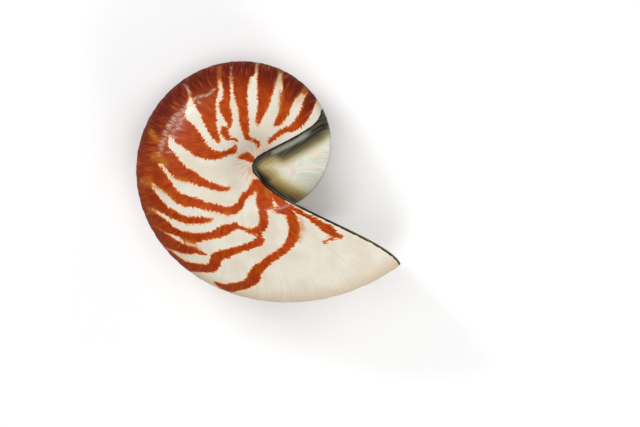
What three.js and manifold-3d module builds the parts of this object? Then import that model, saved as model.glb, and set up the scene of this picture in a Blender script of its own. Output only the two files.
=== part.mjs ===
// The empty shell of an adult chambered nautilus, in millimetres, +Z up, lying on one flank.
//
// The shell is one grown piece, so it is one mesh. It is worked out in its coil frame first: the coil axis is
// Z, the coil lies in the XY plane, and the growing edge, or lip, is at the lower right. Angles are counted
// anticlockwise about the coil axis, and a turn is numbered by the angle of its venter, the outer edge of the
// coil. A place across a turn runs from -1, the umbilicus of the lower flank, over 0, the venter, to +1. A row
// is the same thing counted on either flank: 0 at the umbilicus, SEAM_ROW where the turn grips the one inside
// it, and 1 on the venter.
import * as THREE from "three";
import { ParametricGeometry } from "three/addons/geometries/ParametricGeometry.js";
import { mergeGeometries, mergeVertices } from "three/addons/utils/BufferGeometryUtils.js";
import Module from "manifold-3d";

const wasm = await Module();
wasm.setup();

const { clamp, degToRad, lerp, smoothstep } = THREE.MathUtils;
const TURN = 2 * Math.PI;
const AXIS = new THREE.Vector3(0, 0, 1);

// The coil, from the greatest diameter of an adult shell.
const GREATEST_DIAMETER = 170;
const BACK_RADIUS = 0.4165 * GREATEST_DIAMETER; // axis to venter, on the side away from the lip
const EXPANSION = 3; // each turn is this many times the one inside it
const LIP = degToRad(329);
const BODY_CHAMBER = degToRad(128); // the last chamber, which is open
const OFF_CENTRE = 0.1386; // the umbilicus lies this share of the radius off the middle of the coil
const OFF_CENTRE_AT = degToRad(82);
const OVAL = 0.0147;
const OVAL_AT = degToRad(29);

// The section of a turn, as shares of its radius.
const HALF_BREADTH = 0.392;
const WIDEST_AT = 0.37;
const FLANK_POWER = 2.12; // a superellipse, a little fuller than an ellipse
const SEAM_AT = 0.315;
const HUB_HALF = 0.088 * GREATEST_DIAMETER; // half the thickness through the plugged umbilicus

// The lip lags behind towards the umbilicus, and has a shallow notch at the venter.
const LAG = degToRad(50);
const LAG_FADES_OVER = 0.165 * GREATEST_DIAMETER;
const NOTCH = degToRad(2.5);
const NOTCH_WIDTH = 0.25;

// The wall, the last septum and the siphuncle's way through it.
const WALL = 1.3;
const THICKENING = 0.24; // share of the rows over which the wall thickens towards the seam
const SEPTUM_DEPTH = 0.17; // share of the turn's radius
const SIPHUNCLE_UP = 0.46; // share of the way from the inner turn to the venter
const SIPHUNCLE_RADIUS = 2.4;
const SIPHUNCLE_MOUTH = 3.4;
const SIPHUNCLE_LENGTH = 12;
const SIPHUNCLE_SIDES = 12;

// How it lies: the coil axis leans over, and the flank is flat where it touches.
const LEAN = degToRad(11.66);
const LEAN_TOWARDS = degToRad(-75.3);
const FLAT_DEPTH = 0.4;

// Facets.
const STEP = degToRad(8);
const ROWS = 14;
const HUB_ROWS = 2;
const SEAM_ROW = HUB_ROWS / ROWS;
const SEPTUM_COLUMNS = 5;

const SLOPE_STEP = 1e-3; // how far apart two places are taken to measure a slope
const WELD = 1e-3; // corners closer than this are one corner
const CLEARANCE = 1; // how far a cutting body stands out of what it cuts

const FIRST = LIP - TURN; // the turn inside, where the lip passes over it
const LAST_SEPTUM = FIRST - BODY_CHAMBER;
const GROWTH = Math.log(EXPANSION) / TURN;

function turnRadius(angle) {
  const spiral = BACK_RADIUS * Math.exp(GROWTH * (angle - Math.PI));
  return spiral * (1 + OFF_CENTRE * Math.cos(angle - OFF_CENTRE_AT) + OVAL * Math.cos(2 * angle - OVAL_AT));
}

// Half the thickness at distance r from the axis, on a turn of radius R.
function halfThickness(r, R) {
  const widest = HALF_BREADTH * R;
  const share = r / (WIDEST_AT * R);
  if (share > 1) {
    const out = Math.min((r / R - WIDEST_AT) / (1 - WIDEST_AT), 1);
    return widest * (1 - out ** FLANK_POWER) ** (1 / FLANK_POWER);
  }
  const hub = HUB_HALF * Math.min(1, R / turnRadius(FIRST - LAG));
  return widest + (hub - widest) * (1 - share ** 2) ** 2;
}

function lagAt(r) {
  return -LAG * Math.exp(-r / LAG_FADES_OVER);
}

const LIP_SEAM = SEAM_AT * turnRadius(FIRST + lagAt(SEAM_AT * turnRadius(FIRST)));

function rowRadius(row, R, seam) {
  if (row <= SEAM_ROW) return (seam * row) / SEAM_ROW;
  return seam + (R - seam) * Math.sin((TURN / 4) * ((row - SEAM_ROW) / (1 - SEAM_ROW)));
}

function rowLag(row) {
  const notch = NOTCH * Math.exp(-(((1 - row) / NOTCH_WIDTH) ** 2));
  return lagAt(rowRadius(row, turnRadius(LIP), LIP_SEAM)) - notch;
}

// The radius of the seam on an inner turn, which is all that the turn outside it leaves bare at the middle.
function seamRadius(inner) {
  const lag = rowLag(SEAM_ROW);
  return (LIP_SEAM * turnRadius(inner + lag)) / turnRadius(FIRST + lag);
}

// The outer skin of a turn. The last place handed in is filled and given back, as THREE's own methods do.
function skin(turn, across, seam, target) {
  const row = 1 - Math.abs(across);
  const angle = turn + rowLag(row);
  const R = turnRadius(angle);
  const r = rowRadius(row, R, seam);
  const height = halfThickness(r, R) * (across < 0 ? -1 : 1);
  return target.set(r * Math.cos(angle), r * Math.sin(angle), height);
}

function skinNormal(turn, across, seam, target) {
  const flank = 1 - SEAM_ROW - SLOPE_STEP;
  const place = clamp(across, -flank, flank);
  const along = skin(turn + SLOPE_STEP, place, seam, new THREE.Vector3());
  along.sub(skin(turn - SLOPE_STEP, place, seam, new THREE.Vector3()));
  const over = skin(turn, place + SLOPE_STEP, seam, new THREE.Vector3());
  over.sub(skin(turn, place - SLOPE_STEP, seam, new THREE.Vector3()));
  return target.crossVectors(along, over).normalize();
}

// The floor of the body chamber is the skin of the turn inside it.
function floor(inner, across, target) {
  return skin(inner, across, seamRadius(inner), target);
}

// Its roof runs under the skin of its own turn, and comes down to the floor at the seam.
function roof(inner, across, target) {
  const seam = seamRadius(inner);
  const row = 1 - Math.abs(across);
  const clear = smoothstep((row - SEAM_ROW) / (1 - SEAM_ROW), 0, THICKENING);
  const angle = inner + rowLag(SEAM_ROW);
  const drop = halfThickness(seam, turnRadius(angle + TURN)) - halfThickness(seam, turnRadius(angle));
  const normal = skinNormal(inner + TURN, across, seam, new THREE.Vector3());
  skin(inner + TURN, across, seam, target);
  target.z -= (1 - clear) * drop * Math.sign(target.z);
  return target.addScaledVector(normal, -WALL * clear);
}

// The last septum stands between floor and roof, and bulges away from the lip.
function septum(up, across, target) {
  const low = floor(LAST_SEPTUM, across, new THREE.Vector3());
  roof(LAST_SEPTUM, across, target).lerp(low, 1 - up);
  const row = (1 - Math.abs(across) - SEAM_ROW) / (1 - SEAM_ROW);
  const bulge = 4 * up * (1 - up) * Math.sin((TURN / 4) * row);
  const depth = SEPTUM_DEPTH * turnRadius(LAST_SEPTUM + TURN) * bulge;
  return target.applyAxisAngle(AXIS, -depth / Math.hypot(target.x, target.y));
}

// The lip is the flat edge of the wall between skin and roof.
function rim(inward, across, target) {
  skin(LIP, across, LIP_SEAM, target);
  return target.lerp(roof(FIRST, across, new THREE.Vector3()), inward);
}

// Round the umbilicus the lip steps straight down onto the turn inside.
function step(down, across, target) {
  skin(LIP, across, LIP_SEAM, target);
  return target.lerp(skin(FIRST, across, LIP_SEAM, new THREE.Vector3()), down);
}

function positionOnly(geometry) {
  geometry.deleteAttribute("normal");
  geometry.deleteAttribute("uv");
  return geometry;
}

// A sheet of facets, in columns from start to end of a turn, and in rows from low to high across it.
function sheet(place, [start, end, columns], [low, high, rows]) {
  const toPlace = (u, v, target) => place(lerp(start, end, u), lerp(low, high, v), target);
  return positionOnly(new ParametricGeometry(toPlace, columns, rows));
}

function toSolid(geometry) {
  const bare = mergeVertices(geometry, WELD);
  const vertProperties = new Float32Array(bare.attributes.position.array);
  const triVerts = new Uint32Array(bare.index.array);
  return new wasm.Manifold(new wasm.Mesh({ numProp: 3, vertProperties, triVerts }));
}

function fromSolid(solid) {
  const mesh = solid.getMesh();
  const geometry = new THREE.BufferGeometry();
  geometry.setAttribute("position", new THREE.BufferAttribute(mesh.vertProperties, 3));
  geometry.setIndex(new THREE.BufferAttribute(mesh.triVerts, 1));
  return geometry;
}

// The sheets that close on each other round the wall of the shell.
function shellWalls() {
  const whole = [-1, 1, 2 * ROWS];
  const seam = 1 - SEAM_ROW;
  const open = [-seam, seam, 2 * (ROWS - HUB_ROWS)];
  const chamberColumns = Math.round(BODY_CHAMBER / STEP);
  const outside = (turn, across, target) => skin(turn, across, LIP_SEAM, target);
  return mergeGeometries([
    sheet(outside, [FIRST, LIP, Math.round(TURN / STEP)], whole),
    sheet(floor, [LAST_SEPTUM, FIRST, chamberColumns], open),
    sheet(roof, [FIRST, LAST_SEPTUM, chamberColumns], open),
    sheet(septum, [1, 0, SEPTUM_COLUMNS], open),
    sheet(rim, [0, 1, 1], open),
    sheet(step, [0, 1, 1], [-1, -seam, HUB_ROWS]),
    sheet(step, [0, 1, 1], [seam, 1, HUB_ROWS]),
  ]);
}

// The hole of the siphuncle: a pit in the middle of the last septum that narrows as it runs backwards.
function siphunclePit() {
  const pit = new THREE.CylinderGeometry(SIPHUNCLE_MOUTH, SIPHUNCLE_RADIUS, SIPHUNCLE_LENGTH, SIPHUNCLE_SIDES);
  const place = septum(SIPHUNCLE_UP, 0, new THREE.Vector3());
  const backwards = new THREE.Vector3(place.y, -place.x, 0).normalize();
  pit.applyQuaternion(new THREE.Quaternion().setFromUnitVectors(new THREE.Vector3(0, -1, 0), backwards));
  pit.translate(...place.addScaledVector(backwards, SIPHUNCLE_LENGTH / 2 - CLEARANCE));
  return positionOnly(pit);
}

// Turns the coil frame to the way the shell lies.
const upright = AXIS.clone();
upright.applyAxisAngle(new THREE.Vector3(0, 1, 0), LEAN);
upright.applyAxisAngle(AXIS, LEAN_TOWARDS);
const lie = new THREE.Quaternion().setFromUnitVectors(upright, AXIS);

const lying = fromSolid(toSolid(shellWalls()).subtract(toSolid(siphunclePit()))).applyQuaternion(lie);
lying.computeBoundingBox();

// What reaches below the flats is cut away.
const groundDepth = FLAT_DEPTH + CLEARANCE;
const ground = positionOnly(new THREE.BoxGeometry(2 * GREATEST_DIAMETER, 2 * GREATEST_DIAMETER, groundDepth));
ground.translate(0, 0, lying.boundingBox.min.z + FLAT_DEPTH - groundDepth / 2);

const shellGeometry = fromSolid(toSolid(lying).subtract(toSolid(ground)));
shellGeometry.computeBoundingBox();
const middle = shellGeometry.boundingBox.getCenter(new THREE.Vector3());

const shell = new THREE.Mesh(
  shellGeometry,
  new THREE.MeshStandardMaterial({ color: 0xe6dccb, roughness: 0.35, metalness: 0 }),
);
shell.name = "nautilus_shell";
shell.position.set(-middle.x, -middle.y, -shellGeometry.boundingBox.min.z);

const nautilus = new THREE.Group();
nautilus.add(shell);
export default nautilus;
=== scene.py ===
"""The empty shell of a chambered nautilus, lying on one flank on a pale floor, seen along the coil's axis."""
import math

import bmesh
import bpy
import numpy as np
from mathutils import Matrix, Vector


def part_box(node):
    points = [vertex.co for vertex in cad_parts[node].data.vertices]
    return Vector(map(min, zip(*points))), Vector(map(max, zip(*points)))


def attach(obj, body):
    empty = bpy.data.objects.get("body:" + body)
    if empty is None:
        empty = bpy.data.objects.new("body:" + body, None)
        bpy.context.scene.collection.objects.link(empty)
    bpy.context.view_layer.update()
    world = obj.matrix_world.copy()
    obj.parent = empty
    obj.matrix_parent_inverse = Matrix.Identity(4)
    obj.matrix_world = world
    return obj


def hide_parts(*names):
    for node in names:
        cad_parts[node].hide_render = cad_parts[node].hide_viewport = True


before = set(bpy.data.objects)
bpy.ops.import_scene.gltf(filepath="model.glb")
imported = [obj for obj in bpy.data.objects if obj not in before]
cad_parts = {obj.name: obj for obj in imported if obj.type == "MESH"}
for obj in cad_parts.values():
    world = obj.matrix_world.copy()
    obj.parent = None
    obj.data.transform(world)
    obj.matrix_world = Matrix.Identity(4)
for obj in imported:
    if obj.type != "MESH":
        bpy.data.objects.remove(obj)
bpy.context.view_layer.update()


# ---- The coil ---------------------------------------------------------------------------------------------
# A nautilus shell is one tube, coiled flat, that grows three times wider with each turn. Each turn clasps the
# one inside it. Lengths are in millimetres and angles in radians until the finished shell is put in place.
# A place on the shell is (turn, across): turn is the angle of the outer edge of the coil, the venter, and
# across runs from -1, the umbilicus on the lower flank, over the venter at 0, to +1.
MM = 0.001
TURN = 2 * math.pi
GREATEST_DIAMETER = 170.0
BACK_RADIUS = 0.4165 * GREATEST_DIAMETER
GROWTH = math.log(3) / TURN
LIP = math.radians(329)
FIRST = LIP - TURN
BODY_CHAMBER = math.radians(128)
LAST_SEPTUM = FIRST - BODY_CHAMBER
HALF_BREADTH = 0.392
WIDEST_AT = 0.37
FLANK_POWER = 2.12
SEAM_AT = 0.315
HUB_HALF = 0.088 * GREATEST_DIAMETER
LAG = math.radians(50)
LAG_FADES_OVER = 0.165 * GREATEST_DIAMETER
NOTCH = math.radians(2.5)
NOTCH_WIDTH = 0.25
OFF_CENTRE = 0.1386
OFF_CENTRE_TOWARDS = math.radians(82)
OVAL = 0.0147
OVAL_TOWARDS = math.radians(14.5)
NEARBY = 1e-3
ROWS = 63
SEAM_ROW = 1 / 7
RIPPLE = 0.0011
RIPPLES = ((41, 1.0, 0.3), (67, 0.8, 1.9), (103, 0.6, 4.1))


def smoothstep(x, low, high):
    t = np.clip((x - low) / (high - low), 0, 1)
    return t * t * (3 - 2 * t)


def turn_radius(angle):
    spiral = BACK_RADIUS * np.exp(GROWTH * (angle - math.pi))
    off_centre = OFF_CENTRE * np.cos(angle - OFF_CENTRE_TOWARDS)
    oval = OVAL * np.cos(2 * (angle - OVAL_TOWARDS))
    return spiral * (1 + off_centre + oval)


def half_thickness(r, radius):
    widest = HALF_BREADTH * radius
    share = r / (WIDEST_AT * radius)
    out = np.clip((r / radius - WIDEST_AT) / (1 - WIDEST_AT), 0, 1)
    flank = widest * (1 - out ** FLANK_POWER) ** (1 / FLANK_POWER)
    hub = HUB_HALF * np.minimum(1, radius / turn_radius(FIRST - LAG))
    bowl = widest + (hub - widest) * (1 - np.minimum(share, 1) ** 2) ** 2
    return np.where(share > 1, flank, bowl)


def lag_at(r):
    return -LAG * np.exp(-r / LAG_FADES_OVER)


LIP_SEAM = SEAM_AT * turn_radius(FIRST + lag_at(SEAM_AT * turn_radius(FIRST)))


def row_radius(row, radius, seam):
    out = np.clip((row - SEAM_ROW) / (1 - SEAM_ROW), 0, 1)
    flank = seam + (radius - seam) * np.sin(out * math.pi / 2)
    return np.where(row <= SEAM_ROW, seam * row / SEAM_ROW, flank)


def row_lag(row):
    notch = NOTCH * np.exp(-(((1 - row) / NOTCH_WIDTH) ** 2))
    return lag_at(row_radius(row, turn_radius(LIP), LIP_SEAM)) - notch


def seam_radius(inner):
    lag = row_lag(SEAM_ROW)
    return LIP_SEAM * turn_radius(inner + lag) / turn_radius(FIRST + lag)


def skin(turn, across, seam):
    """Points of the outer skin, as an array of x, y, z rows. Old lips stand up from it as faint ripples."""
    row = 1 - np.abs(across)
    angle = turn + row_lag(row)
    radius = turn_radius(angle)
    r = row_radius(row, radius, seam)
    height = half_thickness(r, radius) * np.where(across < 0, -1, 1)
    ripple = sum(size * np.sin(count * turn + start) for count, size, start in RIPPLES)
    swell = 1 + RIPPLE * ripple * smoothstep(row, SEAM_ROW, 3 * SEAM_ROW)
    return np.stack([r * swell * np.cos(angle), r * swell * np.sin(angle), height * swell], axis=-1)


def skin_normal(turn, across, seam):
    flank = 1 - SEAM_ROW - NEARBY
    place = np.clip(across, -flank, flank)
    along = skin(turn + NEARBY, place, seam) - skin(turn - NEARBY, place, seam)
    over = skin(turn, place + NEARBY, seam) - skin(turn, place - NEARBY, seam)
    normal = np.cross(along, over)
    return normal / np.linalg.norm(normal, axis=-1, keepdims=True)


# ---- The chamber ------------------------------------------------------------------------------------------
# The animal lives in the last part of the tube. Its floor is the turn inside, its roof is the inner face of
# the wall, and it ends at the last septum, a thin cup of nacre with the siphuncle's hole in the middle.
WALL = 1.3
THICKENING = 0.24
SEPTUM_DEPTH = 0.17
SIPHUNCLE_UP = 0.46
SIPHUNCLE_RADIUS = 2.4
SIPHUNCLE_MOUTH = 3.4
SIPHUNCLE_LENGTH = 12
SIPHUNCLE_FLOOR = 0.8
GATHERED = 0.75


def floor_of(inner, across):
    return skin(inner, across, seam_radius(inner))


def roof_of(inner, across):
    seam = seam_radius(inner)
    row = 1 - np.abs(across)
    clear = smoothstep((row - SEAM_ROW) / (1 - SEAM_ROW), 0, THICKENING)[:, None]
    angle = inner + row_lag(SEAM_ROW)
    drop = half_thickness(seam, turn_radius(angle + TURN)) - half_thickness(seam, turn_radius(angle))
    points = skin(inner + TURN, across, seam)
    normal = skin_normal(inner + TURN, across, seam)
    points[:, 2] -= (1 - clear[:, 0]) * drop * np.sign(points[:, 2])
    return points - WALL * clear * normal


def septum_point(up, across):
    inner = np.full_like(up, LAST_SEPTUM)
    points = floor_of(inner, across) * (1 - up[:, None]) + roof_of(inner, across) * up[:, None]
    row = (1 - np.abs(across) - SEAM_ROW) / (1 - SEAM_ROW)
    bulge = 4 * up * (1 - up) * np.sin(row * math.pi / 2)
    return points, SEPTUM_DEPTH * turn_radius(LAST_SEPTUM + TURN) * bulge


def septum_of(up, across):
    """The cup of the last septum. Its rows crowd in to the siphuncle's hole, which runs on backwards."""
    gather = GATHERED * (1 - np.abs(across) / (1 - SEAM_ROW)) ** 2 * (4 * up * (1 - up)) ** 0.5
    up = up + (SIPHUNCLE_UP - up) * gather
    across = across * (1 - gather)
    points, back = septum_point(up, across)
    hole = septum_point(np.array([SIPHUNCLE_UP]), np.array([0.0]))[0]
    away = np.linalg.norm(points - hole, axis=-1)
    back = back + SIPHUNCLE_LENGTH * smoothstep(away, SIPHUNCLE_MOUTH, SIPHUNCLE_FLOOR * SIPHUNCLE_RADIUS)
    turned = -back / np.hypot(points[:, 0], points[:, 1])
    x, y = points[:, 0].copy(), points[:, 1].copy()
    points[:, 0] = x * np.cos(turned) - y * np.sin(turned)
    points[:, 1] = x * np.sin(turned) + y * np.cos(turned)
    return points


# ---- The mesh ---------------------------------------------------------------------------------------------
# Sheets of facets are welded into one closed surface: the skin, the chamber's floor and roof, the last
# septum, the rounded lip, and the two small steps where the lip ends on the turn inside it.
bm = bmesh.new()
layers = [bm.verts.layers.float.new(name) for name in ("turn", "across", "part")]
SKIN, FLOOR, ROOF, SEPTUM, RIM = range(5)
SEAM = 1 - SEAM_ROW
OPEN = (-SEAM, SEAM)
OPEN_ROWS = round(2 * ROWS * SEAM)
HUB_ROWS = round(ROWS * SEAM_ROW)
SKIN_COLUMNS = 400
CHAMBER_COLUMNS = 96
SEPTUM_COLUMNS = 40
RIM_COLUMNS = 8
WELD = 1e-3


def add_sheet(part, place, along, columns, across, rows, turn_of=None):
    """A grid of facets whose two ways run between the ends of along and of across."""
    made = bmesh.ops.create_grid(bm, x_segments=columns, y_segments=rows, size=0.5)["verts"]
    share = np.array([vert.co[:2] for vert in made]) + 0.5
    first = along[0] + (along[1] - along[0]) * share[:, 0]
    second = across[0] + (across[1] - across[0]) * share[:, 1]
    turns = first if turn_of is None else turn_of(first)
    for vert, point, turn, side in zip(made, place(first, second), turns, second):
        vert.co = point
        for layer, value in zip(layers, (turn, side, part)):
            vert[layer] = value


def rim_of(inward, across):
    """The lip is rounded: half way round from the skin to the roof, flat where it ends in the seam."""
    lip = np.full_like(inward, LIP)
    outer = skin(lip, across, LIP_SEAM)
    inner = roof_of(np.full_like(inward, FIRST), across)
    middle = (outer + inner) / 2
    angle = inward[:, None] * math.pi
    forward = skin(lip + NEARBY, across, LIP_SEAM) - outer
    forward /= np.linalg.norm(forward, axis=-1, keepdims=True)
    reach = smoothstep(1 - np.abs(across), SEAM_ROW, 2 * SEAM_ROW)[:, None] * WALL / 2
    return middle + (outer - middle) * np.cos(angle) + forward * reach * np.sin(angle)


def step_of(down, across):
    share = (1 - np.cos(down[:, None] * math.pi)) / 2
    top = skin(np.full_like(down, LIP), across, LIP_SEAM)
    return top * (1 - share) + skin(np.full_like(down, FIRST), across, LIP_SEAM) * share


add_sheet(SKIN, lambda t, a: skin(t, a, LIP_SEAM), (FIRST, LIP), SKIN_COLUMNS, (-1, 1), 2 * ROWS)
add_sheet(FLOOR, floor_of, (LAST_SEPTUM, FIRST), CHAMBER_COLUMNS, OPEN, OPEN_ROWS)
add_sheet(ROOF, roof_of, (FIRST, LAST_SEPTUM), CHAMBER_COLUMNS, OPEN, OPEN_ROWS, lambda t: t + TURN)
add_sheet(SEPTUM, septum_of, (1, 0), SEPTUM_COLUMNS, OPEN, OPEN_ROWS, lambda t: t * 0 + LAST_SEPTUM)
add_sheet(RIM, rim_of, (0, 1), RIM_COLUMNS, OPEN, OPEN_ROWS, lambda t: t * 0 + LIP)
for ends in ((-1, -SEAM), (SEAM, 1)):
    add_sheet(RIM, step_of, (0, 1), RIM_COLUMNS, ends, HUB_ROWS, lambda t: t * 0 + LIP)
bmesh.ops.remove_doubles(bm, verts=bm.verts, dist=WELD)
bmesh.ops.recalc_face_normals(bm, faces=bm.faces)
for face in bm.faces:
    face.smooth = True

mesh = bpy.data.meshes.new("nautilus")
bm.to_mesh(mesh)
bm.free()
shell = bpy.data.objects.new("nautilus", mesh)
bpy.context.scene.collection.objects.link(shell)


# ---- How it lies ------------------------------------------------------------------------------------------
# The shell rests on the lip and on the shoulder of its lower flank, so its coil axis leans over a little.
LEAN = math.radians(11.66)
LEAN_TOWARDS = math.radians(-75.3)
upright = Matrix.Rotation(LEAN_TOWARDS, 3, "Z") @ Matrix.Rotation(LEAN, 3, "Y") @ Vector((0, 0, 1))
lie = upright.rotation_difference(Vector((0, 0, 1))).to_matrix()
coil = np.array([vert.co for vert in mesh.vertices])
points = coil @ np.array(lie).T * MM
low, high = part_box("nautilus_shell")
middle = (points.min(0) + points.max(0)) / 2
shift = (np.array(low) + np.array(high)) / 2 - middle
shift[2] = high.z - points[:, 2].max()
points += shift
points[:, 2] = np.maximum(points[:, 2], low.z)
mesh.vertices.foreach_set("co", points.ravel())
mesh.update()


def read_layer(name):
    values = np.zeros(len(mesh.vertices), np.float32)
    mesh.attributes[name].data.foreach_get("value", values)
    return values.astype(float)


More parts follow.
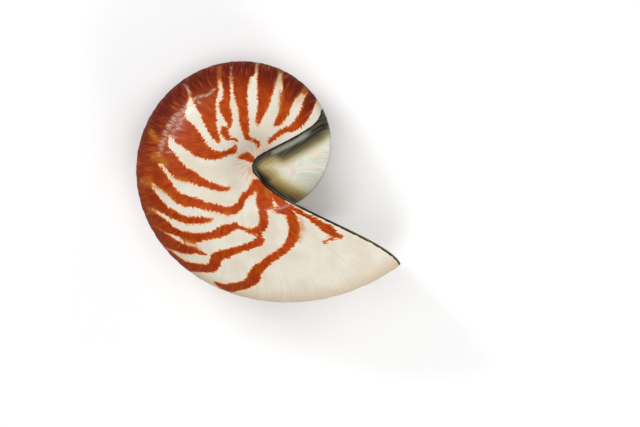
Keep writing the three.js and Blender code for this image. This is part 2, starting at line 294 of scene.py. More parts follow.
# ---- The markings -----------------------------------------------------------------------------------------
# Brown flames cross the outside from the venter and end short of the umbilicus. Each is a brush stroke, seen
# from the side: x and y from the coil axis and half its width, in millimetres. Both flanks carry them.
FLAMES = [
    # Over the top of the coil, from the aperture backwards.
    [(34, 42, 3.2), (31.8, 37, 3.2), (29.5, 30.8, 2.9), (27.2, 26.5, 2.6), (24.6, 23, 2.2),
     (20.8, 20.6, 1.6), (16.5, 19.5, 1.1), (14, 17.8, 0.9), (11.4, 15.6, 0.8), (9.3, 14.2, 1),
     (8, 12, 0.3)],
    [(20.8, 50, 5.4), (22.5, 45, 5.5), (19.3, 40, 4.2), (17.8, 35, 3), (17, 31, 2.8), (15.8, 28, 2.2),
     (14.1, 25.3, 1.8), (12.9, 23.5, 1.3), (11.3, 22.3, 0.3)],
    [(8, 56, 6.5), (7.3, 50, 6), (6.3, 45, 4.7), (5.6, 40, 3.7), (4.9, 35, 3), (3.6, 30.5, 2.2),
     (2.6, 27, 1.6), (1.9, 24.5, 0.9), (1.4, 23, 0.3)],
    [(-7.5, 56, 7), (-7.9, 50, 4.9), (-8.5, 45, 4.1), (-8.3, 40, 3.3), (-7.4, 35, 2.8), (-6.6, 31, 2.2),
     (-6.5, 27, 2.4), (-5.9, 23.5, 2.2), (-5.5, 20, 1.8), (-5, 17.3, 1.3), (-4.4, 15, 0.9),
     (-2.5, 14.5, 0.5), (-0.1, 13.8, 0.6), (1.5, 12.5, 0.8), (1.9, 11, 0.7), (1.2, 9.6, 0.2)],
    [(-17.6, 57, 2.7), (-17.4, 50, 2.5), (-16.5, 45, 1.7), (-16.2, 40.5, 1.6), (-16.6, 37.3, 1.9),
     (-17.7, 34.5, 2.6), (-16.9, 31, 2.7), (-15.8, 28, 2.2), (-15.1, 25.5, 1.7), (-14.6, 23, 0.8)],
    [(-14.9, 22, 0.6), (-16, 20.6, 0.7), (-18.5, 20.6, 0.7), (-17.7, 18.8, 1.6), (-16.5, 16.6, 1.6),
     (-15.3, 15, 0.9)],
    [(-33, 53, 10.5), (-30.2, 45, 9), (-29.4, 40, 7.1), (-28.4, 35, 5.6), (-26.9, 30, 4.1),
     (-26, 25, 3.3), (-24.7, 21, 2.4), (-23.6, 18, 2.1), (-22.1, 15, 1.5), (-20.8, 13.5, 0.7)],
    [(-52, 31, 9), (-45, 22, 6.5), (-40.5, 17.6, 6.8), (-35.9, 13.3, 5.8), (-32, 9, 4.6), (-28, 6.4, 3.2),
     (-24, 5.1, 2.4), (-20.5, 5.1, 1.7), (-17.5, 6.2, 1.1), (-14.5, 7.1, 1.3), (-12.5, 7.9, 1.6),
     (-11.4, 10.2, 0.6), (-11.6, 12, 0.1)],
    [(-13, 14.6, 0.2), (-11.8, 14.6, 0.4), (-10.7, 13.6, 0.4)],
    # The brown outer edge at the back.
    [(-48.5, 46.5, 7.6), (-48, 40, 9), (-50, 36, 10.3), (-53.5, 33, 9.5), (-58.5, 22, 9),
     (-61.5, 10, 10.5), (-66, 0, 7.8), (-67, -10, 6.7), (-67, -20, 6.6), (-66, -28, 5.5),
     (-64.5, -35, 5.5)],
    # Down the back and under the coil.
    [(-57.5, 9, 5.6), (-50, 3.4, 4.2), (-46.7, -1.3, 4.3), (-43, -4.8, 4), (-39, -6.4, 3.5),
     (-35, -8.2, 2.8), (-31, -10.4, 2.1), (-27, -11.8, 1.6), (-23, -13.2, 1.5), (-19.5, -14.3, 1.2),
     (-16.5, -14.6, 0.8), (-14.2, -13.6, 0.3)],
    [(-61, -3.6, 5.6), (-55.4, -8.2, 4.3), (-51, -12.8, 3), (-47.3, -17.2, 2.5), (-43.3, -20, 2.7),
     (-39, -21.5, 2.8), (-34.5, -22.5, 2.3), (-30.5, -23.3, 1.9), (-27.5, -24.6, 1.8), (-23.5, -25, 1.8),
     (-19.5, -26.4, 1.8), (-15.6, -27.2, 2), (-11.9, -26.4, 2.2), (-8.6, -24.2, 2), (-7.3, -20.5, 1.4),
     (-5.7, -18, 1.6), (-3, -16.6, 1.5), (-1, -13.6, 1.9), (0.5, -10.8, 2.2)],
    [(-63.5, -17, 4.5), (-59, -21.8, 4), (-55, -24.4, 2.8), (-51.5, -26.9, 2), (-47.5, -29.2, 2),
     (-43.5, -31.2, 1.8), (-39.5, -32.3, 1.7), (-35.5, -32.7, 1.7), (-31.5, -32.5, 1.7),
     (-28, -32.4, 1.2), (-24.6, -32.3, 0.5)],
    [(-63, -28, 3), (-59.5, -31.4, 3.4), (-55.5, -34.1, 3.3), (-51.5, -36.5, 2.8), (-47.5, -38.7, 1.9),
     (-43.5, -40.3, 1.6), (-39.5, -42.2, 2.5), (-35.5, -43, 2.8), (-31.5, -42.3, 2.1),
     (-27.5, -41.7, 1.9), (-23.5, -40.9, 1.9), (-20, -39.2, 2.7), (-16.5, -38, 2.7), (-13.5, -36.7, 2),
     (-11, -35.7, 1.3), (-8.5, -36.6, 0.6), (-6, -37.6, 0.6), (-4, -38.3, 0.9), (0, -38.8, 1.5),
     (3.6, -37.3, 2.1), (5.6, -34, 2.1), (5.2, -30, 2.2), (4.5, -26, 2.1), (5.6, -22, 4.3),
     (5.5, -19, 4.3), (4.8, -15, 3.3), (2.7, -11, 2.5)],
    [(-60.5, -38.5, 2.5), (-57, -40.8, 3), (-53.5, -43.2, 3.2), (-49.5, -46, 3.3), (-45.5, -47.7, 2.7),
     (-41.5, -49.1, 2.6), (-38, -49.8, 2.2), (-34.5, -50.1, 1.2), (-31.5, -51.2, 0.6),
     (-28.8, -52.4, 0.2)],
    [(-51, -51.2, 1.3), (-46.5, -55, 1.7), (-42, -58.2, 1.8), (-38, -59.8, 2.6), (-33, -60.3, 2.1),
     (-28.5, -60.6, 2.1), (-24.6, -60, 2.6), (-23.1, -57, 3.1), (-22.6, -54.2, 2.8), (-20, -52.8, 2.6),
     (-16, -51.7, 2.3), (-12, -50.2, 1.7), (-8, -48.8, 1.5), (-4, -47.7, 1.6), (0, -46.1, 1.9),
     (3.3, -44.3, 2.1), (2.8, -42, 1.1)],
    [(-23.8, -68.9, 0.5), (-18, -72, 1.8), (-14, -72, 2.6), (-9, -70.9, 2.2), (-4.3, -69.4, 2.5),
     (-0.8, -66.1, 3.4), (0.4, -62.8, 3.2), (3, -60, 2.5), (6.1, -57.3, 2), (10, -54, 1.9),
     (14, -51.6, 1.9), (17.6, -49, 1.9), (20.2, -46.3, 2.3), (21.9, -43, 2.8), (22.8, -39.5, 2.7),
     (23.1, -36, 2.8), (22, -32.3, 2.5), (20.8, -29, 2), (18.4, -26, 2.1), (15.9, -22.8, 2.2),
     (13, -19.5, 2), (10.5, -17, 1.3)],
    [(10, -25.8, 0.6), (13, -26.3, 1.1), (17, -27.8, 1.6)],
    [(18, -23.2, 0.9), (24, -26.8, 1), (29.5, -29.6, 0.8)],
    [(31.5, -30.8, 0.7), (34.8, -32.7, 1.2), (38.8, -35.5, 1.7), (43.3, -38.1, 2.3), (46.3, -41, 1.6),
     (50.2, -42, 0.5)],
    [(46, -42.2, 0.5), (43, -43.5, 0.5), (40, -45.3, 0.2)],
    [(-9, 3.9, 0.5), (-7, 4.6, 1.4), (-4.6, 4.6, 2), (-2.4, 3.2, 1.7)],
    # Where the gaps between the flames close over the venter.
    [(-20.4, 48.5, 0.6), (-22, 60, 4)],
    [(-14.1, 47, 0.3), (-14.6, 54, 1.4), (-14.6, 60, 2)],
    [(-2.2, 52.5, 1.2), (-0.5, 58, 3)],
    [(14.4, 49, 0.8), (15.5, 55, 3), (16, 60, 4)],
    [(28.3, 41.5, 0.6), (29.8, 46.5, 3), (30, 50, 4)],
    [(-42.5, 50, 1), (-45, 53, 2.5)],
    [(-61, -40, 1.5), (-57.5, -45.5, 1.7), (-53, -50.8, 1.5)],
    [(-17.5, 57, 2.2), (-17.8, 61, 3.5)],
]
# Ochre stains where the gaps between the flames run out, as soft strokes of the same kind.
OCHRE = [
    [(14.3, 47, 0.8), (14.8, 58, 1)],
    [(27, 40.5, 0.9), (30, 45.5, 0.9)],
    [(25.5, 38, 0.9), (28.5, 43, 0.9)],
    [(14.6, 31, 0.5), (15, 42, 0.8)],
    [(-20.8, 47, 0.2), (-21.2, 57, 0.6)],
    [(-61, 19, 1), (-57, 14, 1.5), (-55.5, 12.5, 0.8)],
    [(-58.5, 4.5, 2), (-54.5, 3.5, 1.5), (-51, -0.5, 0.8)],
    [(-66, -9.5, 1.2), (-62.5, -9.5, 2), (-60.5, -11.5, 1.2)],
    [(-48, -8, 0.7), (-40, -9.5, 0.7)],
    [(-58, -13, 0.5), (-50, -17.5, 0.6), (-46, -21.5, 0.5)],
    [(-62, -26, 0.8), (-58, -27.2, 0.8)],
    [(-41.5, -44, 0.6), (-37, -45.2, 1), (-32, -49.5, 0.5)],
    [(-16.5, -28.5, 1), (-15, -28.8, 0.8)],
    [(26.5, -32, 0.9), (27.2, -37, 1.2), (25.5, -44, 1)],
    [(6.8, -15, 0.8), (7.6, -19, 0.6)],
    [(-3.2, -2.6, 0.3), (-3, -5, 0.5)],
]

# Gaps between the flames that fade into the brown near the venter, and last a painted highlight: a thin pale
# scratch of light across the back.
FADED_AND_HIGHLIGHT = [
    [(-14, 46, 0.6), (-14.2, 50, 0.3), (-14.2, 57, 0.05)],
    [(0.4, 50, 0.6), (0.9, 61, 0.4)],
    [(-20.7, 45, 1), (-20.6, 49, 0.2)],
    [(13.5, 46, 2.2), (14.5, 53, 0.6)],
    [(24, 36, 1.5), (27, 40.5, 1)],
    [(-41.8, 47.3, 0.2), (-39.6, 44.6, 0.4), (-37.6, 40.8, 0.5)],
    [(-3.4, 45, 0.8), (-2.6, 50, 0.6)],
    # A painted highlight, a thin pale line of light, not a gap.
    [(-35.5, 37.8, 0.4), (-32, 39.4, 0.45), (-28, 40, 0.4), (-23.5, 43.4, 0.4)],
]

# A painted highlight: pale streaks, broken like rubbed old lips, in a band across the back where the shell
# curves over to its edge and would catch the light.
PAINTED_HIGHLIGHT = [
    [(-56, 6, 0.9), (-54, 11, 1.2), (-51.5, 19, 1.3), (-47.5, 25.5, 1.4), (-42.5, 30.8, 1.4),
     (-39.5, 33.5, 1), (-36.5, 37, 0.5)],
]

# The outer edge of the dark film, from the venter inside the aperture down to the umbilicus and round it.
FILM_EDGE = [
    (60, 50), (38.5, 32), (37.7, 28.5), (36, 25.5), (33, 22.3), (30, 20.5), (25.9, 17.8), (20, 14.5),
    (15, 11.9), (9.9, 9.4), (5, 6.9), (1.5, 4.8), (-0.8, 2.3), (-1.9, -0.8), (-1.35, -4.7), (1.5, -7.6),
    (5.1, -10.1),
]
BAND_POINTS = 10

# The dark line along the lip is as wide as this at the venter, and so much wider at the umbilicus.
LIP_LINE = 0.25
LIP_LINE_NEAR_HUB = 1.3
LIP_LINE_NARROWS_OVER = 20
LIP_POINTS = 25
PAST_THE_LIP = (100, -62)

# Millimetres from a stroke's edge at which its tint begins, and at which it is full.
OCHRE_SOFT = (1.6, -0.6)
FADED_AND_HIGHLIGHT_SOFT = (0.5, -0.5)
PAINTED_HIGHLIGHT_SOFT = (1.2, -1)

# Where the maroon weakens, in degrees of turn, and by how much. Where the hairs round the umbilicus come and
# go, in degrees round it and in millimetres from it.
MAROON_WEAKENS = (150, 195)
MAROON_LOSS = 0.6
HAIRS_FROM = (85, 110)
HAIRS_TO = (275, 255)
HAIRS_START = (2, 4)
HAIRS_END = (14, 8)

# How far inwards of its edge the film counts in the chamber and on the lip, and where its look changes. Each
# pair says where a change starts and ends, in millimetres.
ROOF_FILM = 0.5
SEPTUM_FILM = 30
RIM_FILM = 0.9
BAND_SOFT = (0, 4)
# Towards the venter the painted sheen on the film's edge gives way to black, between these x.
PAINTED_SHEEN_ENDS = (34, 28)
HUB_ENDS = (17, 11)
HALO_OUTER = (-3.2, -0.6)
HALO_ENDS = (17, 10)
WORN_FROM = (35, 75)

# Growth lines are measured along the coil at this distance from its axis, and across it over the surface.
AT_FLANK = 60
SECTION_POINTS = 400


def distance_to(strokes, x, y):
    """Distance to the nearest edge of any stroke, negative inside it."""
    nearest = np.full(len(x), 1e9)
    for stroke in strokes:
        for (ax, ay, aw), (bx, by, bw) in zip(stroke, stroke[1:]):
            dx, dy = bx - ax, by - ay
            share = np.clip(((x - ax) * dx + (y - ay) * dy) / (dx * dx + dy * dy), 0, 1)
            away = np.hypot(x - ax - share * dx, y - ay - share * dy) - aw - share * (bw - aw)
            nearest = np.minimum(nearest, away)
    return nearest


def distance_to_line(line, x, y):
    return distance_to([[(*place, 0) for place in line]], x, y)


def is_inside(line, x, y):
    """Whether each place lies to the +x side of the line: a ray from it towards -x crosses the line oddly."""
    inside = np.zeros(len(x), bool)
    for (ax, ay), (bx, by) in zip(line, line[1:]):
        crosses = (ay > y) != (by > y)
        inside ^= crosses & (x > ax + (y - ay) * (bx - ax) / (by - ay))
    return inside


def store(name, values):
    """Keeps one number or one vector for each vertex, for the materials to read."""
    kind = "FLOAT" if values.ndim == 1 else "FLOAT_VECTOR"
    layer = mesh.attributes.new(name, kind, "POINT")
    layer.data.foreach_set("value" if kind == "FLOAT" else "vector", values.astype(np.float32).ravel())


x, y = coil[:, 0], coil[:, 1]
turns = read_layer("turn")
across = read_layer("across")
part = read_layer("part").round()
row = 1 - np.abs(across)
r = np.hypot(x, y)
radius = turn_radius(turns + row_lag(row))

# How far each place is from the venter over the surface: the tube's section is the same at every size.
rows = np.linspace(0, 1, SECTION_POINTS)
section_r = row_radius(rows, turn_radius(LIP), LIP_SEAM)
section_h = half_thickness(section_r, turn_radius(LIP))
lengths = np.hypot(np.diff(section_r), np.diff(section_h))
from_venter = np.append(np.cumsum(lengths[::-1])[::-1], 0) / turn_radius(LIP)
over = np.interp(row, rows, from_venter) * radius * np.sign(across)
store("growth", np.stack([turns * AT_FLANK, over, 0 * over], axis=-1))
store("flank", coil)

store("marking", distance_to(FLAMES, x, y))
store("ochre", smoothstep(distance_to(OCHRE, x, y), *OCHRE_SOFT))
store("faded", smoothstep(distance_to(FADED_AND_HIGHLIGHT, x, y), *FADED_AND_HIGHLIGHT_SOFT))
# Where the painted highlight lies: pale streaks of light across the back.
store("painted_highlight", smoothstep(distance_to(PAINTED_HIGHLIGHT, x, y), *PAINTED_HIGHLIGHT_SOFT))
store("venter", 1 - r / radius)
store("maroon", 1 - MAROON_LOSS * smoothstep(np.degrees(turns), *MAROON_WEAKENS))
angle = np.degrees(np.arctan2(y, x)) % 360
round_hub = smoothstep(r, *HAIRS_START) * smoothstep(r, *HAIRS_END)
store("hairs", round_hub * smoothstep(angle, *HAIRS_FROM) * smoothstep(angle, *HAIRS_TO))

# The film's edge goes on along the lip, a little way back from it. Film is how far inwards from there.
lip_row = np.linspace(SEAM_ROW, 1, LIP_POINTS)
lip_r = row_radius(lip_row, turn_radius(LIP), LIP_SEAM)
near_hub = np.exp(-(((lip_r - LIP_SEAM) / LIP_LINE_NARROWS_OVER) ** 2))
line_width = LIP_LINE + LIP_LINE_NEAR_HUB * near_hub
lip_line = [tuple(place[:2]) for place in skin(LIP - line_width / lip_r, 1 - lip_row, LIP_SEAM)]
edge = FILM_EDGE + lip_line + [PAST_THE_LIP]
away = distance_to_line(edge, x, y)
film = np.where(is_inside(edge, x, y) | (part == FLOOR), away, -away)
film = np.where(part == ROOF, ROOF_FILM + (LIP - turns) * r, film)
film = np.where(part == SEPTUM, SEPTUM_FILM, film)
film = np.where(part == RIM, RIM_FILM, film)
store("film", film)
band = distance_to_line(edge[:BAND_POINTS], x, y)
others = distance_to_line(edge[BAND_POINTS:], x, y)
store("band", smoothstep(others - band, *BAND_SOFT) * (part != ROOF) * (part != SEPTUM))
# Where the painted sheen shows on the film's edge: only short of the venter.
store("painted_sheen", smoothstep(x, *PAINTED_SHEEN_ENDS))
store("hub", smoothstep(r, *HUB_ENDS))
store("halo", smoothstep(film, *HALO_OUTER) * smoothstep(r, *HALO_ENDS))
store("worn", smoothstep(x, *WORN_FROM) * (part != ROOF))
PORCELAIN, FILM, NACRE = 0, 1, 2
FILM_STARTS = 0.6
FILM_ENDS = 8.5
for polygon in mesh.polygons:
    inwards = film[list(polygon.vertices)].mean()
    polygon.material_index = PORCELAIN if inwards < FILM_STARTS else FILM if inwards < FILM_ENDS else NACRE


# ---- The outer layer --------------------------------------------------------------------------------------
# Porcelain-like aragonite with a soft gloss, cream with brown pigment laid in it as the lip grew, so the
# colour has fine streaks along the old lips, and ragged edges along the coil.
def linear(code):
    """An sRGB hex colour, as linear red, green, blue and alpha."""
    parts = [int(code[i:i + 2], 16) / 255 for i in (0, 2, 4)]
    return (*(p / 12.92 if p <= 0.04045 else ((p + 0.055) / 1.055) ** 2.4 for p in parts), 1)


def add(kind, inputs, output=0, **settings):
    """Adds one node to the tree in hand. inputs maps a socket to a value, a hex colour or another output."""
    made = tree.nodes.new("ShaderNode" + kind)
    for key, value in settings.items():
        setattr(made, key, value)
    for key, value in inputs.items():
        if isinstance(value, bpy.types.NodeSocket):
            tree.links.new(value, made.inputs[key])
        else:
            made.inputs[key].default_value = linear(value) if isinstance(value, str) else value
    return made.outputs[output]


# Sockets by number: of a Mix node for colours, then of a Map Range node, which turns the values from START to
# END into those from AT_START to AT_END.
SHARE, UNDER, OVER, MIXED = 0, 6, 7, 2
VALUE, START, END, AT_START, AT_END = range(5)
SOFT = {"interpolation_type": "SMOOTHSTEP"}
COLOUR = {"data_type": "RGBA"}
BLACK_FILM = "17140F"

porcelain = bpy.data.materials.new("porcelain")
porcelain.use_nodes = True
mesh.materials.append(porcelain)
tree = porcelain.node_tree
surface = tree.nodes["Principled BSDF"]
flank = add("Attribute", {}, "Vector", attribute_name="flank")
growth = add("Attribute", {}, "Vector", attribute_name="growth")
venter = add("Attribute", {}, "Fac", attribute_name="venter")
film = add("Attribute", {}, "Fac", attribute_name="film")

# Cream ground, warmer clouds 14 mm wide, faint old lips 1.1 mm apart, darker beige towards the venter: partly
# the venter's own darker tone, partly painted shade where the shell turns away at its edge.
clouds = add("Mapping", {"Vector": flank, "Scale": (1 / 14, 1 / 14, 1 / 30)})
clouds = add("TexNoise", {"Vector": clouds, "Scale": 1, "Detail": 3})
lips = add("Mapping", {"Vector": growth, "Scale": (1 / 1.1, 1 / 35, 1)})
lips = add("TexNoise", {"Vector": lips, "Scale": 1, "Detail": 4})
warm = add("MapRange", {VALUE: clouds, START: 0.35, END: 0.65}, **SOFT)
cream = add("Mix", {SHARE: warm, UNDER: "DAD4C6", OVER: "D2C8B7"}, MIXED, **COLOUR)
lined = add("MapRange", {VALUE: lips, START: 0.45, END: 0.75, AT_START: 0, AT_END: 0.4}, **SOFT)
cream = add("Mix", {SHARE: lined, UNDER: cream, OVER: "C6B9A4"}, MIXED, **COLOUR)
# Partly painted shade: a beige tan darkens the venter, as shade on the rounded edge, on top of its own darker
# tone.
venter_tan_and_shade = add("MapRange", {VALUE: venter, START: 0.11, END: 0.0, AT_START: 0, AT_END: 0.6}, **SOFT)
cream = add("Mix", {SHARE: venter_tan_and_shade, UNDER: cream, OVER: "BCA179"}, MIXED, **COLOUR)

# Hairs of pinkish orange, 0.8 mm apart, run out from the umbilicus.
hairs = add("Mapping", {"Vector": growth, "Scale": (1 / 5, 1 / 14, 1)})
hairs = add("TexNoise", {"Vector": hairs, "Scale": 1, "Detail": 2})
hairs = add("MapRange", {VALUE: hairs, START: 0.47, END: 0.62, AT_START: 0, AT_END: 0.75}, **SOFT)
hairy = add("Attribute", {}, "Fac", attribute_name="hairs")
hairy = add("Math", {0: hairs, 1: hairy}, operation="MULTIPLY")
cream = add("Mix", {SHARE: hairy, UNDER: cream, OVER: "CF8F68"}, MIXED, **COLOUR)

# A peach halo round the umbilicus, where the film ends.
halo = add("Attribute", {}, "Fac", attribute_name="halo")
uneven = add("MapRange", {VALUE: hairs, START: 0, END: 0.75, AT_START: 0.3, AT_END: 0.8}, **SOFT)
halo = add("Math", {0: halo, 1: uneven}, operation="MULTIPLY")
cream = add("Mix", {SHARE: halo, UNDER: cream, OVER: "CE9A7A"}, MIXED, **COLOUR)

# Brown pigment: orange on the flank, maroon over the venter, streaked along the old lips 0.65 mm apart.
streaks = add("Mapping", {"Vector": growth, "Scale": (1 / 0.65, 1 / 14, 1)})
streaks = add("TexNoise", {"Vector": streaks, "Scale": 1, "Detail": 5})
blotches = add("Mapping", {"Vector": flank, "Scale": (1 / 5, 1 / 5, 1 / 5)})
blotches = add("TexNoise", {"Vector": blotches, "Scale": 1, "Detail": 3})
patchy = add("MapRange", {VALUE: blotches, START: 0.35, END: 0.7}, **SOFT)
brown = add("Mix", {SHARE: patchy, UNDER: "9A3405", OVER: "AC430A"}, MIXED, **COLOUR)
frayed = add("Math", {0: streaks, 1: 0.22, 2: -0.11}, operation="MULTIPLY_ADD")
frayed = add("Math", {0: venter, 1: frayed}, operation="ADD")
deep = add("MapRange", {VALUE: frayed, START: 0.4, END: 0.08}, **SOFT)
maroon = add("Attribute", {}, "Fac", attribute_name="maroon")
deep = add("Math", {0: deep, 1: maroon}, operation="MULTIPLY")
brown = add("Mix", {SHARE: deep, UNDER: brown, OVER: "560E03"}, MIXED, **COLOUR)
mottled = add("Mapping", {"Vector": growth, "Scale": (1 / 2.6, 1 / 14, 1)})
mottled = add("TexNoise", {"Vector": mottled, "Scale": 1, "Detail": 3})
mottled = add("MapRange", {VALUE: mottled, START: 0.5, END: 0.68, AT_START: 0, AT_END: 0.45}, **SOFT)
brown = add("Mix", {SHARE: mottled, UNDER: brown, OVER: "7A2205"}, MIXED, **COLOUR)
dark = add("MapRange", {VALUE: streaks, START: 0.52, END: 0.7, AT_START: 0, AT_END: 0.5}, **SOFT)
brown = add("Mix", {SHARE: dark, UNDER: brown, OVER: "6E1B05"}, MIXED, **COLOUR)
pale = add("MapRange", {VALUE: streaks, START: 0.5, END: 0.32, AT_START: 0, AT_END: 0.55}, **SOFT)
brown = add("Mix", {SHARE: pale, UNDER: brown, OVER: "C4581A"}, MIXED, **COLOUR)

# The flames' edges are ragged: the pigment runs out in teeth 3 mm long and 1.2 mm apart along the coil.
teeth = add("Mapping", {"Vector": growth, "Scale": (1 / 3, 1 / 1.2, 1)})
teeth = add("TexNoise", {"Vector": teeth, "Scale": 1, "Detail": 2})
fray = add("Mapping", {"Vector": flank, "Scale": (1 / 1.2, 1 / 1.2, 1 / 1.2)})
fray = add("TexNoise", {"Vector": fray, "Scale": 1, "Detail": 3})
marking = add("Attribute", {}, "Fac", attribute_name="marking")
calm = add("MapRange", {VALUE: venter, START: 0.2, END: 0.04, AT_START: 3.8, AT_END: 1.2}, **SOFT)
edge = add("Math", {0: teeth, 1: 0.54}, operation="SUBTRACT")
edge = add("Math", {0: edge, 1: calm}, operation="MULTIPLY")
edge = add("Math", {0: edge, 1: marking}, operation="ADD")
edge = add("Math", {0: fray, 1: 1.4, 2: edge}, operation="MULTIPLY_ADD")
edge = add("Math", {0: edge, 1: 0.95}, operation="SUBTRACT")
fringe = add("MapRange", {VALUE: edge, START: -0.8, END: 0}, **SOFT)
stained = add("Mix", {SHARE: fringe, UNDER: brown, OVER: "BE5F22"}, MIXED, **COLOUR)
fringe = add("MapRange", {VALUE: edge, START: -0.1, END: 0.35}, **SOFT)
stained = add("Mix", {SHARE: fringe, UNDER: stained, OVER: "E9C3A0"}, MIXED, **COLOUR)
ground = add("MapRange", {VALUE: edge, START: 0.15, END: 0.8}, **SOFT)
colour = add("Mix", {SHARE: ground, UNDER: stained, OVER: cream}, MIXED, **COLOUR)

# Ochre stains, gaps that fade into the brown, and the painted highlights, a pale scratch among the gaps and
# pale streaks across the back, all broken up by the streaks.
for name, low, high, least, most, tint in (
        ("ochre", 0.38, 0.6, 0.15, 0.8, "B8701C"), ("faded", 0.35, 0.6, 0.4, 0.8, "D6BC9C"),
        ("painted_highlight", 0.46, 0.6, 0, 0.75, "EFD2B8")):
    stain_and_highlight = add("Attribute", {}, "Fac", attribute_name=name)
    broken = add("MapRange", {VALUE: streaks, START: low, END: high, AT_START: least, AT_END: most}, **SOFT)
    stain_and_highlight = add("Math", {0: stain_and_highlight, 1: broken}, operation="MULTIPLY")
    colour = add("Mix", {SHARE: stain_and_highlight, UNDER: colour, OVER: tint}, MIXED, **COLOUR)

# The black film's outer edge is a little ragged too.
edge = add("Math", {0: fray, 1: 0.6, 2: -0.3}, operation="MULTIPLY_ADD")
edge = add("Math", {0: edge, 1: film}, operation="ADD")
black = add("MapRange", {VALUE: edge, START: -0.35, END: 0.1}, **SOFT)
colour = add("Mix", {SHARE: black, UNDER: colour, OVER: BLACK_FILM}, MIXED, **COLOUR)
tree.links.new(colour, surface.inputs["Base Color"])
surface.inputs["Roughness"].default_value = 0.42
surface.inputs["IOR"].default_value = 1.53
surface.inputs["Specular IOR Level"].default_value = 0.12
surface.inputs["Coat Weight"].default_value = 0.13
surface.inputs["Coat Roughness"].default_value = 0.15
relief = add("Bump", {"Height": lips, "Strength": 0.3, "Distance": 0.0003})
tree.links.new(relief, surface.inputs["Normal"])


# ---- The inner layer and the film -------------------------------------------------------------------------
# Nacre: stacked aragonite plates thinner than light's wavelength, so it is pearly, with pale pink and green
# lights. Near the aperture a black, satin film of conchiolin covers it, and thins out through olive and gold.
# Both materials hold the same colours, so that no edge shows where one goes over into the other.
FILM_REACH = 16
PEARL = ((0.3, "EDE6CF"), (0.42, "F2E0D6"), (0.5, "F6F0E2"), (0.58, "E0EAD9"), (0.7, "F0E4CC"))
ROUND_HUB = ((1.6, BLACK_FILM), (2.4, "2E2A1E"), (3.4, "5E5436"), (5, "8C6E34"), (7.5, "AA965C"),
             (10, "D8CDA4"), (13, "E3DDC0"))
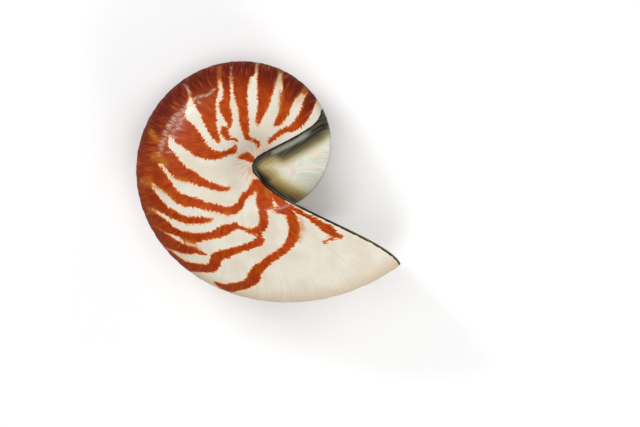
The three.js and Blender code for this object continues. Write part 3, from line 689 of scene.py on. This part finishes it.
# Along the band, a painted sheen: grey from 1.6 to 4 mm in, between two black lines, stands for light
# mirrored in the satin film.
ALONG_BAND = ((1.0, BLACK_FILM), (1.6, "74776D"), (3.0, "8E9187"), (4.0, "5A5B52"), (4.7, BLACK_FILM),
              (6, "2B271C"), (8, "5E5435"), (11, "A79C70"), (15, "DDD6BA"))
for name, roughness, coat, thin_film in (("conchiolin_film", 0.34, 0.2, 0), ("nacre", 0.24, 0.5, 430)):
    layer = bpy.data.materials.new(name)
    layer.use_nodes = True
    mesh.materials.append(layer)
    tree = layer.node_tree
    surface = tree.nodes["Principled BSDF"]
    flank = add("Attribute", {}, "Vector", attribute_name="flank")
    growth = add("Attribute", {}, "Vector", attribute_name="growth")
    film = add("Attribute", {}, "Fac", attribute_name="film")
    band = add("Attribute", {}, "Fac", attribute_name="band")
    painted_sheen = add("Attribute", {}, "Fac", attribute_name="painted_sheen")
    worn = add("Attribute", {}, "Fac", attribute_name="worn")

    # Pink and green clouds 16 mm wide, old lips 1.6 mm apart.
    clouds = add("Mapping", {"Vector": flank, "Scale": (1 / 16, 1 / 16, 1 / 16)})
    clouds = add("TexNoise", {"Vector": clouds, "Scale": 1, "Detail": 1, "Distortion": 0.6})
    pearl = add("ValToRGB", {0: clouds})
    lips = add("Mapping", {"Vector": growth, "Scale": (1 / 1.6, 1 / 25, 1)})
    lips = add("TexNoise", {"Vector": lips, "Scale": 1, "Detail": 4})

    # The film, by its distance from its own edge, with rings 0.6 mm apart that run along that edge.
    inwards = add("Math", {0: lips, 1: 1.2, 2: -0.6}, operation="MULTIPLY_ADD")
    inwards = add("Math", {0: inwards, 1: film}, operation="ADD")
    reach = add("Math", {0: inwards, 1: FILM_REACH}, operation="DIVIDE")
    round_hub = add("ValToRGB", {0: reach})
    along_band = add("ValToRGB", {0: reach})
    for ramp, scale, stops in (
            (pearl, 1, PEARL), (round_hub, FILM_REACH, ROUND_HUB), (along_band, FILM_REACH, ALONG_BAND)):
        elements = ramp.node.color_ramp.elements
        for number, (place, code) in enumerate(stops):
            element = elements[number] if number < 2 else elements.new(place / scale)
            element.position = place / scale
            element.color = linear(code)
    # The painted sheen's grey turns black where painted_sheen is not set.
    no_painted_sheen = add("MapRange", {VALUE: inwards, START: 4.5, END: 5.5, AT_START: 1, AT_END: 0}, **SOFT)
    unlit = add("Math", {0: 1.0, 1: painted_sheen}, operation="SUBTRACT")
    no_painted_sheen = add("Math", {0: no_painted_sheen, 1: unlit}, operation="MULTIPLY")
    along_band = add("Mix", {SHARE: no_painted_sheen, UNDER: along_band, OVER: BLACK_FILM}, MIXED, **COLOUR)
    filmed = add("Mix", {SHARE: band, UNDER: round_hub, OVER: along_band}, MIXED, **COLOUR)
    rings = add("CombineXYZ", {0: add("Math", {0: inwards, 1: 0.6}, operation="DIVIDE")})
    rings = add("TexNoise", {"Vector": rings, "Scale": 1, "Detail": 2})
    ringed = add("MapRange", {VALUE: rings, START: 0.45, END: 0.65, AT_START: 0, AT_END: 0.4}, **SOFT)
    hub = add("Attribute", {}, "Fac", attribute_name="hub")
    ringed = add("Math", {0: ringed, 1: hub}, operation="MULTIPLY")
    past_edge = add("MapRange", {VALUE: film, START: 3.5, END: 6}, **SOFT)
    ringed = add("Math", {0: ringed, 1: past_edge}, operation="MULTIPLY")
    filmed = add("Mix", {SHARE: ringed, UNDER: filmed, OVER: "EDE8CC"}, MIXED, **COLOUR)
    thinned = add("MapRange", {VALUE: inwards, START: 9, END: 15}, **SOFT)
    colour = add("Mix", {SHARE: thinned, UNDER: filmed, OVER: pearl}, MIXED, **COLOUR)
    lined = add("MapRange", {VALUE: lips, START: 0.4, END: 0.75, AT_START: 0, AT_END: 0.3}, **SOFT)
    colour = add("Mix", {SHARE: lined, UNDER: colour, OVER: "B9A784"}, MIXED, **COLOUR)

    # Far out along the lip the film is worn to a brown line.
    near_edge = add("MapRange", {VALUE: film, START: 3, END: 1.8}, **SOFT)
    rubbed = add("Math", {0: worn, 1: near_edge}, operation="MULTIPLY")
    colour = add("Mix", {SHARE: rubbed, UNDER: colour, OVER: "6B5833"}, MIXED, **COLOUR)
    tree.links.new(colour, surface.inputs["Base Color"])
    surface.inputs["Roughness"].default_value = roughness
    surface.inputs["IOR"].default_value = 1.55
    surface.inputs["Coat Weight"].default_value = coat
    surface.inputs["Coat Roughness"].default_value = 0.12
    surface.inputs["Thin Film Thickness"].default_value = thin_film
    surface.inputs["Thin Film IOR"].default_value = 1.4
    relief = add("Bump", {"Height": lips, "Strength": 0.25, "Distance": 0.0003})
    tree.links.new(relief, surface.inputs["Normal"])

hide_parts("nautilus_shell")
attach(shell, "root")


# ---- Floor, lights and camera -----------------------------------------------------------------------------
# A white floor under a wide soft light, so that it shows white. One lamp at the back gives the gloss, and two
# lights that are not mirrored fill in the lower side and the aperture. The camera looks down the coil's axis.
FLOOR_HALF = 3
WORLD_STRENGTH = 0.2
AIM_HEIGHT = 0.03
LENS = 135
SENSOR = 36
FRAME_WIDTH = 0.3768
FRAME_CENTRE = (37.7, -28.55, 0)
bm = bmesh.new()
bmesh.ops.create_grid(bm, x_segments=1, y_segments=1, size=FLOOR_HALF)
floor_mesh = bpy.data.meshes.new("floor")
bm.to_mesh(floor_mesh)
bm.free()
floor = bpy.data.objects.new("floor", floor_mesh)
bpy.context.scene.collection.objects.link(floor)

# Matt white paper: an even, bright ground. It isn't mirrored in the gloss, so that the brown stays deep.
paper = bpy.data.materials.new("paper")
paper.use_nodes = True
paper.node_tree.nodes["Principled BSDF"].inputs["Base Color"].default_value = linear("F3F3F3")
floor_mesh.materials.append(paper)
floor.visible_glossy = False

world = bpy.data.worlds.new("studio")
bpy.context.scene.world = world
world.use_nodes = True
world.node_tree.nodes["Background"].inputs["Color"].default_value = linear("FFFFFF")
world.node_tree.nodes["Background"].inputs["Strength"].default_value = WORLD_STRENGTH


def area_light(name, place, size, power, gloss=True):
    """A soft light aimed at the shell. Without gloss it only fills in and is not mirrored."""
    light = bpy.data.lights.new(name, "AREA")
    light.shape = "RECTANGLE"
    light.size, light.size_y = size
    light.energy = power
    lamp = bpy.data.objects.new(name, light)
    lamp.location = place
    lamp.rotation_euler = (Vector((0, 0, AIM_HEIGHT)) - Vector(place)).to_track_quat("-Z", "Y").to_euler()
    lamp.visible_glossy = gloss
    bpy.context.scene.collection.objects.link(lamp)


area_light("key", (-0.72, 0.66, 0.62), (0.45, 0.1), 6.5)
area_light("low", (0.5, -0.85, 0.4), (0.7, 0.5), 8, gloss=False)
area_light("fill", (0.7, 0.6, 0.4), (0.6, 0.4), 3, gloss=False)
area_light("sky", (-0.2, 0.3, 1.8), (1.8, 1.8), 19.5, gloss=False)

coil_axis = lie @ Vector((0, 0, 1))
umbilicus = Vector(shift)
aim = umbilicus + lie @ Vector(FRAME_CENTRE) * MM
camera = bpy.data.objects.new("camera", bpy.data.cameras.new("camera"))
camera.data.lens = LENS
camera.data.sensor_width = SENSOR
up = lie @ Vector((0, 1, 0))
right = lie @ Vector((1, 0, 0))
basis = Matrix((right, up, coil_axis)).transposed()
camera.matrix_world = Matrix.Translation(aim + coil_axis * FRAME_WIDTH * LENS / SENSOR) @ basis.to_4x4()
bpy.context.scene.collection.objects.link(camera)
bpy.context.scene.camera = camera
bpy.context.scene.view_settings.view_transform = "Standard"
